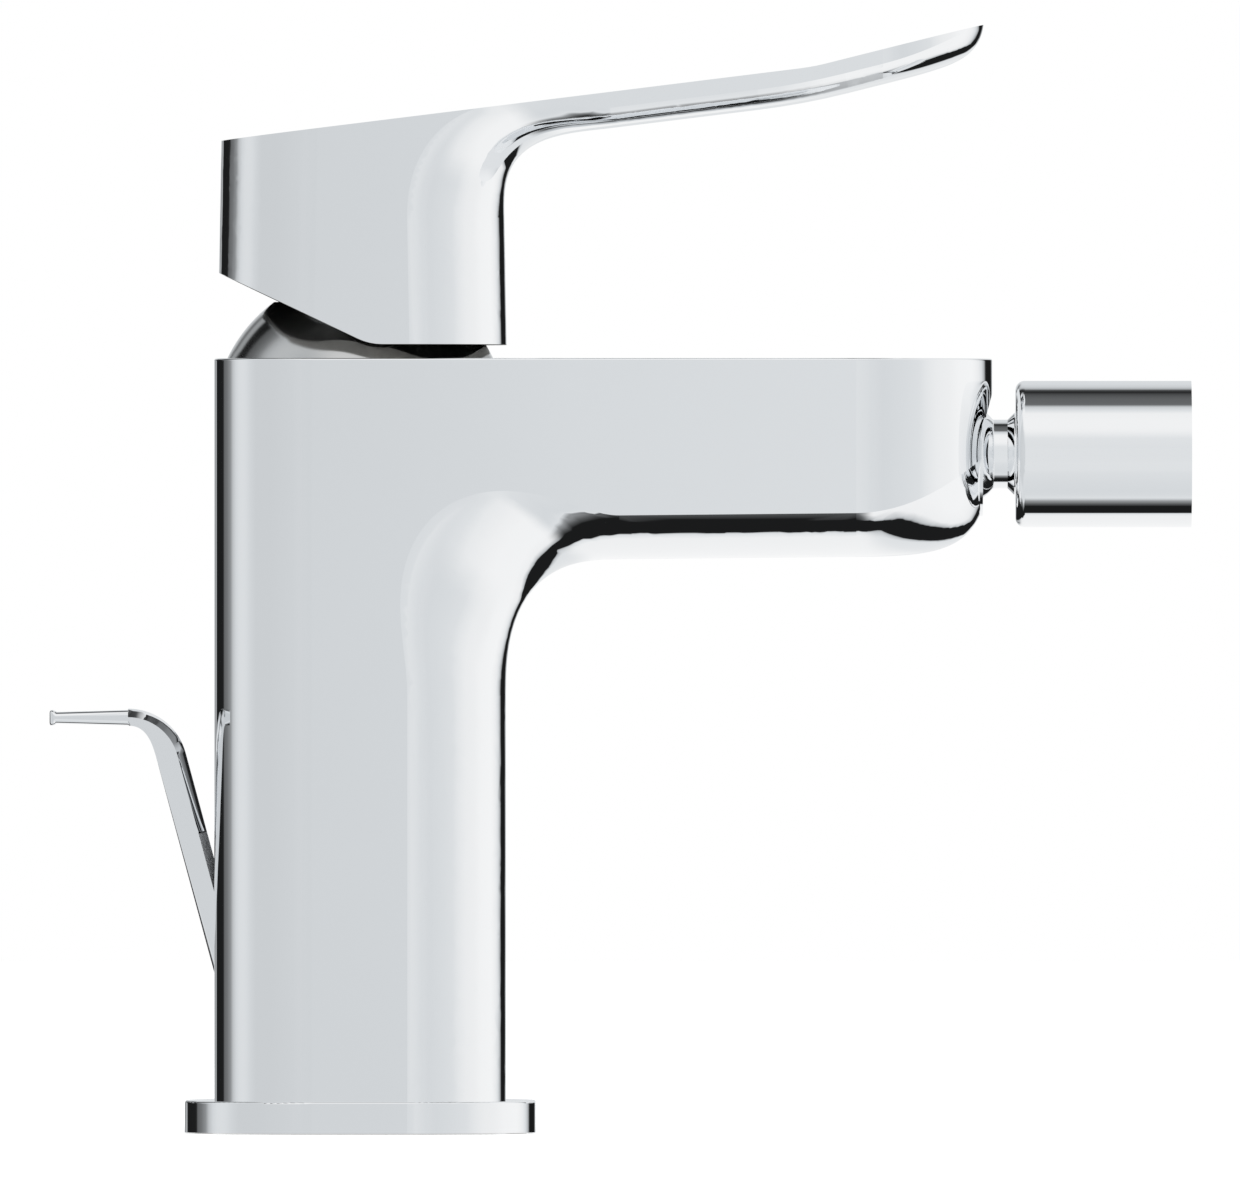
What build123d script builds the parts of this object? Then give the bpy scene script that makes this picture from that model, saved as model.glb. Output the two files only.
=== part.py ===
from build123d import *
from math import atan2, cos, hypot, pi, radians, sin, sqrt, tan
import os

# Single-lever bidet mixer with a swivel nozzle and a pop-up waste handle.
# Millimetres, +Z up, spout along +X, symmetry plane Y = 0.
# The origin is the centre of the base plate on the deck.

# General clearances and overruns
over = 1.0                     # how far a cutting tool runs past what it cuts
thread_gap = 0.05              # play modelled between two threaded or soldered pieces
fit_gap = 0.1                  # play between pieces that drop into each other
water_film = 0.05              # gap between rubbing ceramic and plastic faces
edge_round = 0.3               # broken edge on the polished castings

# Body casting: square column with a forward spout
column_width = 41.6
column_corner = 14.0
body_wall = 3.2
spout_front = 90.25
spout_front_corner = 19.5
spout_depth = 28.6             # from the belly to the top of the body
belly_height = 81.8            # underside of the spout where it leaves the column
belly_flat = 7.0               # half width of the flat along the belly
belly_depth = 6.2              # how far the belly hangs below the side crease
belly_rise = 0.55              # degrees that the belly climbs towards the front
junction_reach = 16.2          # column's front to the start of the straight belly
junction_drop = 19.5           # belly down to where the column's front starts to curve
junction_power = 2.65          # fullness of the hollow curve under the spout
fan_hub = 1.2                  # radius cleared round the axis of that curve
fan_steps = 10                 # sections that each swept edge is drawn through
corner_hub_share = 0.8         # how far out a corner's tool starts, of that radius
corner_run_on_share = 0.05     # how far a corner's tool runs on past the surface it cuts
junction_swell = 7.5           # how much wider the junction's rounded edge is half way round
junction_lateness = 10         # how late on its way round that edge gets its crease
nose_run = 18.25               # the curve under the spout's nose, back from its front
nose_depth = 15.2              # belly up to where the front stands upright
nose_lean = 86.5               # degrees, where that curve meets the front
nose_shares = (0.75, 0.9)      # how long the curve stays flat, and how long upright

# Base plate and its seal
plate_overhang = 4.25
plate_thickness = 4.5
spigot_step = 1.2              # the column's foot is this much smaller than the column
spigot_height = 2.5
seal_width = 2.4
seal_height = 1.8

# Hose cavity and the bushes in its roof
cavity_roof = 26.0             # metal between the hose cavity and the cartridge
inlet_x = -3.5
inlet_y = 7.8
inlet_bush_flats = 13.0
inlet_bush_drop = 12.0
inlet_bush_spigot = 6.2
inlet_thread_radius = 4.46     # M10 x 1 hose thread, minor radius
inlet_thread_length = 12.0
bush_spigot_height = 6.0
inlet_passage_radius = 2.6
stud_x = 9.5
stud_bush_flats = 12.0
stud_bush_drop = 10.0
stud_bush_spigot = 5.6
stud_thread_radius = 3.32      # M8 fixing stud, minor radius
stud_thread_length = 14.0

# Outlet passage and water chamber in the spout
cup_wall = 3.2                 # round the cartridge, where the water chamber passes it
outlet_x = 7.2
outlet_radius = 2.8
outlet_drop = 13.3
riser_entry = 3.5              # how far the 45 degree riser runs into the water chamber
water_corner_share = 0.4       # of the water chamber's height

# Cartridge, from its base up
cartridge_radius = 14.1
chamber_play = 0.2
cartridge_base_thickness = 3.5
cartridge_rim_height = 2.0
cartridge_rim_wall = 1.2
port_seal_lip = 0.2            # the seals' bore beyond the outlet's radius
port_seal_width = 1.2
port_seal_height = 1.2
disc_thickness = 3.0
disc_play = 0.2
moving_disc_radius = 8.0
disc_offset = 1.75             # the moving disc rests this far behind the axis
mixing_pocket_depth = 1.6
mixing_pocket_radius = 5.4
driver_floor = 1.0
carrier_gap = 0.4              # driver's top to the spindle carrier
carrier_drop = 6.5             # the carrier's ends below and above the pivot
carrier_rise = 6.0
carrier_slot_length = 14.0
carrier_step = 1.3             # the carrier's radius inside the housing's lower bore
housing_wall = 1.4
housing_shoulder = 0.9         # width of the shoulder that the nut presses on
housing_roof = 1.4
housing_mouth = 8.6
pin_radius = 1.5
pin_gap = 0.03
pin_recess = 0.4

# Spindle
tail_arm = 8.2                 # pivot to the centre of the tail ball
tail_ball_radius = 2.4
tail_radius = 2.0
tail_play = 0.25               # beside the tail ball
tail_drop = 0.3                # under the tail ball
eye_radius = 4.0
eye_width = 7.2
shank_radius = 3.3
spindle_square = 7.0
spindle_rise = 29.5            # pivot to the top of the square

# Retaining nut and dome cap
nut_ledge = 3.2                # the nut's thread beyond the cartridge's radius
nut_height = 4.5
nut_gap = 0.4                  # nut to the dome's skirt
nut_slots = 4
nut_slot_width = 4.0
nut_slot_depth = 1.6
pivot_drop = 2.3               # the pivot below the nut's seat
dome_radius = 21.0             # sphere about the lever's pivot
dome_wall = 1.2
dome_mouth = 11.9
dome_height = 17.0             # pivot to the rim of the dome's mouth
dome_skirt_height = 1.7
dome_skirt_wall = 1.6

# Lever casting: hollow block with a long paddle
lever_width = 41.2
lever_corner = 13.8
lever_offset = 0.3             # the block sits this much forward of the column
lever_gap = 2.0                # between the body's top and the lever
lever_height = 31.5            # the block's height over the axis
lever_draft = 1.0              # degrees, front and rear of the block
lever_slant = 25.4             # degrees, rising underside at the back
lever_slant_start = 1.4
lever_slant_round = 8.0
paddle_slope = 7.05
paddle_end_slope = 14.1
paddle_kink = 64.6
paddle_kink_radius = 30.0
paddle_tip = 89.05
paddle_tip_corner = 14.5
lever_junction_reach = 17.0
lever_junction_drop = 12.85
lever_junction_rise = 18.1     # the block's bottom up to where its front starts to curve
lever_junction_power = 3.0
lever_junction_lateness = 4
paddle_edge_depth = 2.5        # rounded lower edge of the paddle
paddle_edge_run = 4.3
paddle_bend_start = 57.0
paddle_bend_radius = 105.0
tip_run = 10.05                # the curve under the paddle's tip, back from its end
tip_depth = 5.2
tip_lean = 86.0                # degrees
tip_shares = (0.65, 0.9)
lever_wall = 2.6
lever_roof = 3.2
lever_clearance = 0.5          # skirt to dome cap
hub_radius = 7.5
socket_gap = 0.1

# Grub screw in the lever's hub and the index plug over its hole
screw_rise = 24.5              # pivot to the screw's axis
screw_radius = 2.5
screw_length = 6.0
screw_key_flats = 2.5
screw_key_depth = 2.5
plug_radius = 3.0
plug_length = 3.4
plug_step = 0.1                # the plug lies this far below the lever's front

# Pop-up waste handle
rod_angle = 15.1               # degrees from vertical
rod_entry_height = 30.7        # where the bar's centre line meets the column's back
bar_thickness = 4.2
bar_width = 7.0
bar_chamfer = 1.2
bar_chamfer_width = 1.8
bar_end = 26.0                 # along the bar, below its entry
bar_rise = 23.7                # along the bar, from its entry up to the bend
bend_radius = 6.4
tab_length = 10.2
tab_root = 2.2                 # thickness next to the bend
tab_tip = 1.65
tab_step = 0.2                 # tab's top below the top of the bend
bend_thinning = 1.8            # how much thinner the bend is where it meets the tab
bend_grip_share = 0.62         # fullness of the bend's inner curve
lip_length = 1.0
lip_flare = 0.52
guide_wall = 1.0
guide_play = 0.15
guide_reach = 25.0             # along the bar, below its entry
guide_rise = 14.0              # along the bar, past the upper end of the wall slot
rod_radius = 1.4
rod_socket_depth = 12.0
rod_end = 30.2                 # along the bar, below its entry

# Ball joint in the spout's front
ball_inset = 5.95              # the ball's centre behind the spout's front
ball_rise_share = 0.5245       # of the spout's depth
ball_radius = 7.8
ball_gap = 0.1
ball_shell = 1.1               # the socket's radius beyond the ball's
ball_bore = 2.8
neck_radius = 4.9
neck_flare = 0.15
neck_swing = 1.9               # room round the neck in the retainer's mouth
socket_depth = 6.8             # behind the ball's centre
socket_step = 1.5              # water chamber to the socket
socket_ledge = 1.9
ball_seal_thickness = 1.0
seat_ring_gap = 0.3            # the seat ring's front behind the ball's centre
seat_ring_bore = 5.6
retainer_gap = 0.1             # the retainer's back before the ball's centre
retainer_inset = 1.35

# Nozzle
nozzle_reach = 9.3             # ball's centre to the nozzle's back
nozzle_length = 25.1
nozzle_radius = 10.45
nozzle_wall = 1.3
nozzle_back_wall = 1.8
nozzle_back_round = 1.3
nozzle_chamber = 10.4          # the nozzle's back to the aerator's ledge
collar_step = 0.95
collar_length = 0.2
spigot_radius = 4.4
spigot_length = 4.6
washer_thickness = 1.2
washer_play = 0.4
aerator_ledge_width = 0.95
aerator_seal_thickness = 1.0
aerator_inset = 0.8
aerator_wall = 1.3
grid_thickness = 1.6
grid_pitch = 2.5
grid_bar = 0.7
screen_thickness = 0.5
screen_reach = 6.0             # aerator's ledge to the screen

# Heights, worked out from the spout down to the hose cavity and up to the lever
half = column_width / 2
body_top = belly_height + spout_depth
nut_seat_height = body_top - dome_skirt_height - nut_gap - nut_height
pivot_height = nut_seat_height - pivot_drop
carrier_bottom = pivot_height - carrier_drop
carrier_top = pivot_height + carrier_rise
driver_top = carrier_bottom - carrier_gap
driver_bottom = pivot_height - tail_arm - tail_ball_radius - tail_drop - driver_floor
disc_top = driver_bottom - water_film
disc_floor = disc_top - 2 * disc_thickness - water_film
chamber_floor = disc_floor - cartridge_base_thickness
cavity_top = chamber_floor - cavity_roof
housing_top = carrier_top + fit_gap + housing_roof
dome_top = pivot_height + dome_height
spindle_top = pivot_height + spindle_rise
screw_height = pivot_height + screw_rise
lever_half = lever_width / 2
lever_bottom = body_top + lever_gap
lever_top_at_axis = lever_bottom + lever_height
lever_junction_height = lever_bottom + lever_junction_rise

# Radii that follow the cartridge, and places that follow the spout's front
chamber_radius = cartridge_radius + chamber_play
nut_thread_radius = cartridge_radius + nut_ledge
housing_bore = cartridge_radius - housing_wall
housing_neck = cartridge_radius - housing_shoulder
carrier_radius = housing_bore - carrier_step
fixed_disc_radius = housing_bore - fit_gap - cartridge_rim_wall - disc_play
port_seal_inner = outlet_radius + port_seal_lip
port_seal_outer = port_seal_inner + port_seal_width
ball_x = spout_front - ball_inset
ball_height = belly_height + ball_rise_share * spout_depth
socket_radius = ball_radius + ball_shell
socket_seat = ball_x - socket_depth
socket_throat = socket_radius - socket_ledge
water_front = socket_seat - socket_step
seat_ring_front = ball_x - seat_ring_gap
retainer_back = ball_x + retainer_gap
retainer_front = spout_front - retainer_inset
retainer_mouth = neck_radius + neck_swing
nozzle_back = ball_x + nozzle_reach
nozzle_front = nozzle_back + nozzle_length
aerator_ledge = nozzle_back + nozzle_chamber


def rounded_block(half_width, corner, z0, z1, x=0.0):
    """Upright block with a rounded square plan."""
    plan = RectangleRounded(2 * half_width, 2 * half_width, corner)
    return extrude(Plane((x, 0, z0)) * plan, z1 - z0)


def rod_z(radius, z0, z1, x=0.0, y=0.0):
    """Upright round bar from z0 to z1."""
    return extrude(Plane((x, y, z0)) * Circle(radius), z1 - z0)


def ring_z(inner, outer, z0, z1, x=0.0, y=0.0):
    return rod_z(outer, z0, z1, x, y) - rod_z(inner, z0 - over, z1 + over, x, y)


def rod_x(radius, x0, x1, z):
    """Round bar along X from x0 to x1, centred on Y = 0."""
    return extrude(Plane((x0, 0, z), x_dir=(0, 1, 0), z_dir=(1, 0, 0)) * Circle(radius), x1 - x0)


def ring_x(inner, outer, x0, x1, z):
    return rod_x(outer, x0, x1, z) - rod_x(inner, x0 - over, x1 + over, z)


def rod_y(radius, half_length, z):
    """Round bar along Y, centred on X = 0."""
    return extrude(Plane((0, 0, z), x_dir=(1, 0, 0), z_dir=(0, 1, 0)) * Circle(radius),
                   half_length, both=True)


def box_between(x0, x1, y0, y1, z0, z1):
    return Pos(x0, y0, z0) * Box(x1 - x0, y1 - y0, z1 - z0, align=Align.MIN)


def prism_y(outline, half_width):
    """Solid between -half_width and +half_width with the given outline in the XZ plane."""
    return extrude(make_face(outline), half_width, dir=(0, 1, 0), both=True)


def closed_line(*points):
    """Closed outline in the XZ plane through (x, z) points."""
    return Polyline([(x, 0, z) for x, z in points], close=True)


def arc_edge(run, depth):
    """Rounded edge in one arc that starts level: run, depth, end angle and two grips."""
    lean = 2 * atan2(depth, run)
    grip = 4 * tan(lean / 4) * run / sin(lean) / 3
    return run, depth, lean, grip, grip


def full_edge(run, depth, lean, shares):
    """Rounded edge that ends nearly upright, its two grips given as shares."""
    return run, depth, radians(lean), shares[0] * run, shares[1] * depth


def tilted_edge(edge, slope):
    """The same edge, cut by an upright plane across a face that climbs by `slope`."""
    run, depth, lean, level, steep = edge
    across = steep * cos(lean)
    rise = steep * sin(lean) / cos(slope)
    return run, depth / cos(slope), atan2(rise, across), level, hypot(across, rise)


def mixed_edge(first, last, share, late, swell=0):
    """Edge between two: run and depth by `share`, end angle and grips by `late`."""
    run, depth = (a + (b - a) * share for a, b in zip(first[:2], last[:2]))
    lean, level, steep = (a + (b - a) * late for a, b in zip(first[2:], last[2:]))
    widening = (depth + swell) / (first[1] + (last[1] - first[1]) * late)
    return run, depth + swell, lean, level, steep * widening


def edge_tool(half_width, edge, reach):
    """Section of a tool that leaves a face with a flat middle and two rounded edges.

    Local x runs across the piece, local y points away from it. The rounding starts level
    with the face and ends `depth` below it at `half_width`.
    """
    run, depth, lean, level, steep = edge
    flat = half_width - run
    side = half_width + over
    near = (flat + level, 0)
    far = (half_width - steep * cos(lean), steep * sin(lean) - depth)
    return make_face([
        Line((-flat, 0), (flat, 0)),
        Bezier((flat, 0), near, far, (half_width, -depth)),
        Polyline((half_width, -depth), (side, -depth), (side, reach), (-side, reach),
                 (-side, -depth), (-half_width, -depth)),
        Bezier((-half_width, -depth), (-far[0], far[1]), (-near[0], near[1]), (-flat, 0)),
    ])


def fan_plane(x, z, angle, distance):
    """Plane through the line X = x, Z = z, along a ray at `angle` above -X."""
    ray_x = -cos(radians(angle))
    ray_z = sin(radians(angle))
    origin = (x + distance * ray_x, 0, z + distance * ray_z)
    return Plane(origin, x_dir=(0, 1, 0), z_dir=(-ray_z, 0, ray_x))


def fan_tool(x, z, start, end, forward, up, power, half_width, first, last, swell, lateness):
    """Tool that hollows the corner between an upright face and an overhang.

    `first` and `last` are the rounded edges at its two ends. The hollow curve is a
    superellipse about the line X = x, Z = z, `forward` from the upright face and `up` from
    the overhang. The edge is wider by `swell` half way round, and keeps its end angle for
    the longer the higher `lateness` is.
    """
    sections = []
    for i in range(fan_steps + 1):
        turn = pi / 2 * i / fan_steps
        reach = ((cos(turn) / forward) ** power + (sin(turn) / up) ** power) ** (-1 / power)
        edge = mixed_edge(first, last, sin(turn) ** 2, sin(turn) ** lateness,
                          swell * sin(2 * turn) ** 2)
        section = edge_tool(half_width, edge, reach - fan_hub)
        sections.append(fan_plane(x, z, start + (end - start) * i / fan_steps, reach) * section)
    hub = Pos(x, 0, z) * rod_y(fan_hub + fit_gap, half_width + over, 0)
    return loft(sections) + hub


def carried_on(points, share):
    """Control points of the same curve, carried on past its end by `share` of its length."""
    points = [Vector(*point) for point in points]
    kept = points[:1]
    while len(points) > 1:
        points = [a + (b - a) * (1 + share) for a, b in zip(points, points[1:])]
        kept.append(points[0])
    return [(point.X, point.Y) for point in kept]


def corner_outline(inner, corner, climb, edge, low):
    """Half of an edge tool's outline, out from `inner`, with the face climbing by `climb`."""
    run, depth, lean, level, steep = edge
    start = corner - run
    top = climb * corner + depth
    near = (start + level, climb * (start + level))
    far = (corner - steep * cos(lean), top - steep * sin(lean))
    outer = corner + 2 * over
    curve = carried_on([(start, climb * start), near, far, (corner, top)], corner_run_on_share)
    end = curve[-1]
    return curve, [end, (outer, end[1]), (outer, -low), (inner, -low), (inner, climb * inner), curve[0]]


def nose_tool(x, y, z, corner, slope, first, last, low):
    """Tool for the underside of a piece with two round corners, centred on (x, y) and (x, -y).

    The edge changes from `first` along the sides to `last` at the front, and the face
    climbs forward by `slope` from `z`.
    """
    curve, rest = corner_outline(0, corner, tan(slope), last, low)
    tool = prism_y([Bezier(*[(x + a, 0, z + b) for a, b in curve]),
                    Polyline([(x + a, 0, z + b) for a, b in rest])], y)
    hub = closed_line((x, z), (x + fan_hub, z + fan_hub * tan(slope)), (x + fan_hub, z - low), (x, z - low))
    tool += prism_y(hub, y + fan_hub)
    for side in (-1, 1):
        sections = []
        for i in range(fan_steps + 1):
            turn = pi / 2 * i / fan_steps
            share = sin(turn) ** 2
            curve, rest = corner_outline(fan_hub * corner_hub_share, corner, tan(slope) * sin(turn),
                                         mixed_edge(first, last, share, share), low)
            plane = Plane((x, side * y, z), x_dir=(sin(turn), side * cos(turn), 0),
                          z_dir=(side * cos(turn), -sin(turn), 0))
            sections.append(plane * make_face([Bezier(*curve), Polyline(rest)]))
        tool += loft(sections)
    return tool


def body_outside():
    """Column and spout as one block, hollowed under the spout."""
    plan = Rectangle(spout_front + half, column_width, align=(Align.MIN, Align.CENTER))
    plan = fillet(plan.vertices().group_by(Axis.X)[0], column_corner)
    plan = fillet(plan.vertices().group_by(Axis.X)[-1], spout_front_corner)
    axis_x = half + junction_reach
    axis_z = belly_height - junction_drop
    block = extrude(Plane((-half, 0, plate_thickness)) * plan, body_top - plate_thickness)
    corner = arc_edge(column_corner, column_corner)
    edge = arc_edge(half - belly_flat, belly_depth)
    fan = fan_tool(axis_x, axis_z, 0, 90, junction_reach, junction_drop, junction_power, half,
                   corner, edge, junction_swell, junction_lateness)
    front = fan_plane(axis_x, axis_z, 0, junction_reach) * edge_tool(half, corner, spout_front)
    fan += extrude(front, axis_z - plate_thickness + over)
    deep = junction_drop + 2 * over
    slope = radians(belly_rise)
    run = spout_front - spout_front_corner - axis_x
    belly = fan_plane(axis_x, axis_z, 90, junction_drop) * edge_tool(half, edge, deep)
    belly = extrude(belly, run / cos(slope), dir=(cos(slope), 0, sin(slope)))
    nose = nose_tool(axis_x + run, half - spout_front_corner, belly_height + run * tan(slope),
                     spout_front_corner, slope, edge,
                     full_edge(nose_run, nose_depth, nose_lean, nose_shares), deep)
    block = block - fan - belly - nose
    return fillet(block.edges().group_by(Axis.Z)[-1], edge_round)


def body_inside():
    """Everything that is hollow in the body casting."""
    inner = half - body_wall
    bottom = plate_thickness - spigot_height
    hollow = rounded_block(inner, column_corner - body_wall, bottom - over, cavity_top)
    pocket_top = cavity_top + bush_spigot_height
    for side in (-1, 1):
        y = side * inlet_y
        hollow += rod_z(inlet_bush_spigot + thread_gap, cavity_top - over, pocket_top, inlet_x, y)
        hollow += rod_z(inlet_passage_radius, pocket_top - over, chamber_floor + over, inlet_x, y)
    hollow += rod_z(stud_bush_spigot + thread_gap, cavity_top - over, pocket_top, stud_x)
    hollow += rod_z(chamber_radius, chamber_floor, body_top + over)
    hollow += rod_z(nut_thread_radius, nut_seat_height, body_top + over)

    elbow = chamber_floor - outlet_drop
    hollow += rod_z(outlet_radius, elbow, chamber_floor + over, outlet_x)
    hollow += Pos(outlet_x, 0, elbow) * Sphere(outlet_radius)
    top = body_top - body_wall
    floor = belly_height + body_wall
    slope = Plane((outlet_x, 0, elbow), x_dir=(0, 1, 0), z_dir=(1, 0, 1))
    hollow += extrude(slope * Circle(outlet_radius), (floor + riser_entry - elbow) * sqrt(2))
    section = RectangleRounded(2 * inner, top - floor, water_corner_share * (top - floor))
    plane = Plane((0, 0, (top + floor) / 2), x_dir=(0, 1, 0), z_dir=(1, 0, 0))
    water = extrude(plane * section, water_front)
    water -= rod_z(nut_thread_radius + cup_wall, floor - over, top + over)
    water &= box_between(half - body_wall, water_front, -half, half, floor, top)
    hollow += water
    hollow += rod_x(socket_throat, water_front - over, socket_seat + over, ball_height)
    hollow += rod_x(socket_radius, socket_seat, spout_front + over, ball_height)
    return hollow


def body_housing():
    body = body_outside()
    bottom = plate_thickness - spigot_height
    body += rounded_block(half - spigot_step, column_corner - spigot_step, bottom, plate_thickness)
    slot = guide_section(thread_gap)
    return body - body_inside() - extrude(rod_plane(-guide_reach - over) * slot,
                                          guide_reach + guide_rise + 2 * over)


def base_plate():
    size = half + plate_overhang
    corner = column_corner + plate_overhang
    plate = rounded_block(size, corner, 0, plate_thickness)
    plate = fillet(plate.edges().group_by(Axis.Z)[-1], edge_round)
    hole = spigot_step - fit_gap
    plate -= rounded_block(half - hole, column_corner - hole, -over, plate_thickness + over)
    return plate - seal_ring(seal_width / 2 + fit_gap, -over, seal_height)


def seal_ring(half_width, z0, z1):
    """Square ring midway between the plate's hole and its edge."""
    middle = half + (plate_overhang - spigot_step) / 2
    corner = column_corner + (plate_overhang - spigot_step) / 2
    ring = rounded_block(middle + half_width, corner + half_width, z0, z1)
    return ring - rounded_block(middle - half_width, corner - half_width, z0 - over, z1 + over)


def base_seal():
    return seal_ring(seal_width / 2, 0, seal_height)


def threaded_bush(x, y, flats, drop, spigot, bore, bore_length, passage):
    """Hexagonal bush hanging from the cavity's roof, with its thread open downwards."""
    mouth = cavity_top - drop
    top = cavity_top + bush_spigot_height
    hexagon = RegularPolygon(flats / 2, 6, major_radius=False)
    bush = extrude(Plane((x, y, mouth)) * hexagon, drop)
    bush += rod_z(spigot, cavity_top - over, top - fit_gap, x, y)
    bush -= rod_z(bore, mouth - over, mouth + bore_length, x, y)
    if passage:
        bush -= rod_z(passage, mouth, top + over, x, y)
    return bush


def inlet_bush(side):
    return threaded_bush(inlet_x, side * inlet_y, inlet_bush_flats, inlet_bush_drop,
                         inlet_bush_spigot, inlet_thread_radius, inlet_thread_length,
                         inlet_passage_radius)


def stud_bush():
    return threaded_bush(stud_x, 0, stud_bush_flats, stud_bush_drop, stud_bush_spigot,
                         stud_thread_radius, stud_thread_length, None)


def cartridge_ports():
    """Places and radii of the three holes through the cartridge's floor."""
    return [(inlet_x, inlet_y, inlet_passage_radius), (inlet_x, -inlet_y, inlet_passage_radius),
            (outlet_x, 0, outlet_radius)]


def cartridge_base():
    base = rod_z(cartridge_radius, chamber_floor, disc_floor)
    rim = housing_bore - fit_gap
    base += ring_z(rim - cartridge_rim_wall, rim, disc_floor - over, disc_floor + cartridge_rim_height)
    for x, y, radius in cartridge_ports():
        base -= rod_z(radius, chamber_floor - over, disc_floor + over, x, y)
        base -= rod_z(port_seal_outer + thread_gap, chamber_floor - over,
                      chamber_floor + port_seal_height, x, y)
    return base


def port_seals():
    rings = [ring_z(port_seal_inner, port_seal_outer, chamber_floor,
                    chamber_floor + port_seal_height, x, y) for x, y, radius in cartridge_ports()]
    return Compound(children=[ring.solid() for ring in rings])


def fixed_disc():
    disc = rod_z(fixed_disc_radius, disc_floor, disc_floor + disc_thickness)
    for x, y, radius in cartridge_ports():
        disc -= rod_z(radius, disc_floor - over, disc_floor + disc_thickness + over, x, y)
    return disc


def moving_disc():
    bottom = disc_top - disc_thickness
    disc = rod_z(moving_disc_radius, bottom, disc_top, -disc_offset)
    return disc - rod_z(mixing_pocket_radius, bottom - over, bottom + mixing_pocket_depth, -disc_offset)


def disc_driver():
    driver = rod_z(moving_disc_radius, driver_bottom, driver_top, -disc_offset)
    room = tail_ball_radius + tail_play
    floor = driver_bottom + driver_floor
    return driver - box_between(-room, room, -room, room, floor, driver_top + over)


def spindle_carrier():
    carrier = rod_z(carrier_radius, carrier_bottom, carrier_top)
    slot = eye_width / 2 + fit_gap
    length = carrier_slot_length / 2
    carrier -= box_between(-length, length, -slot, slot, carrier_bottom - over, carrier_top + over)
    return carrier - rod_y(pin_radius + pin_gap, carrier_radius + over, pivot_height)


def pivot_pin():
    return rod_y(pin_radius, carrier_radius - pin_recess, pivot_height)


def cartridge_housing():
    housing = rod_z(cartridge_radius, disc_floor, nut_seat_height)
    housing += rod_z(housing_neck, nut_seat_height - over, housing_top)
    housing -= rod_z(housing_bore, disc_floor - over, driver_top)
    housing -= rod_z(carrier_radius + fit_gap, driver_top - over, carrier_top + fit_gap)
    return housing - rod_z(housing_mouth, carrier_top, housing_top + over)


def spindle():
    ball = Pos(0, 0, pivot_height - tail_arm) * Sphere(tail_ball_radius)
    bar = ball + rod_z(tail_radius, pivot_height - tail_arm, pivot_height)
    bar += rod_y(eye_radius, eye_width / 2, pivot_height)
    square_start = pivot_height + dome_radius + lever_clearance
    bar += rod_z(shank_radius, pivot_height, square_start + over)
    side = spindle_square / 2
    bar += box_between(-side, side, -side, side, square_start, spindle_top)
    return bar - rod_y(pin_radius + pin_gap, eye_width, pivot_height)


def retaining_nut():
    top = nut_seat_height + nut_height
    nut = ring_z(housing_neck + fit_gap, nut_thread_radius - thread_gap, nut_seat_height, top)
    slot = box_between(0, nut_thread_radius + over, -nut_slot_width / 2, nut_slot_width / 2,
                       top - nut_slot_depth, top + over)
    for i in range(nut_slots):
        nut -= Rot(0, 0, 360 * i / nut_slots) * slot
    return nut


def dome_cap():
    centre = Pos(0, 0, pivot_height)
    slab = rod_z(dome_radius, body_top, dome_top)
    outer = centre * Sphere(dome_radius) & slab
    cap = outer - centre * Sphere(dome_radius - dome_wall)
    skirt = nut_thread_radius - thread_gap
    inner = skirt - dome_skirt_wall
    flange = rod_z(skirt + dome_wall, body_top, body_top + dome_wall) & outer
    cap += flange - rod_z(inner, body_top - over, dome_top)
    cap += ring_z(inner, skirt, body_top - dome_skirt_height, body_top + dome_wall)
    return cap - rod_z(dome_mouth, pivot_height, dome_top + over)


def lever_top(x):
    """Height of the lever's top face at x."""
    rise = lever_top_at_axis + x * tan(radians(paddle_slope))
    return rise + max(0, x - paddle_kink) * (tan(radians(paddle_end_slope)) - tan(radians(paddle_slope)))


def lever_front(z):
    """Front of the leaning block at height z."""
    return lever_offset + lever_half - (z - lever_bottom) * tan(radians(lever_draft))


def slope_plane(x, z, slope):
    """Section plane across a path that climbs at `slope`, with local y pointing down."""
    a = radians(slope)
    return Plane((x, 0, z), x_dir=(0, 1, 0), z_dir=(-cos(a), 0, -sin(a)))


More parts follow.
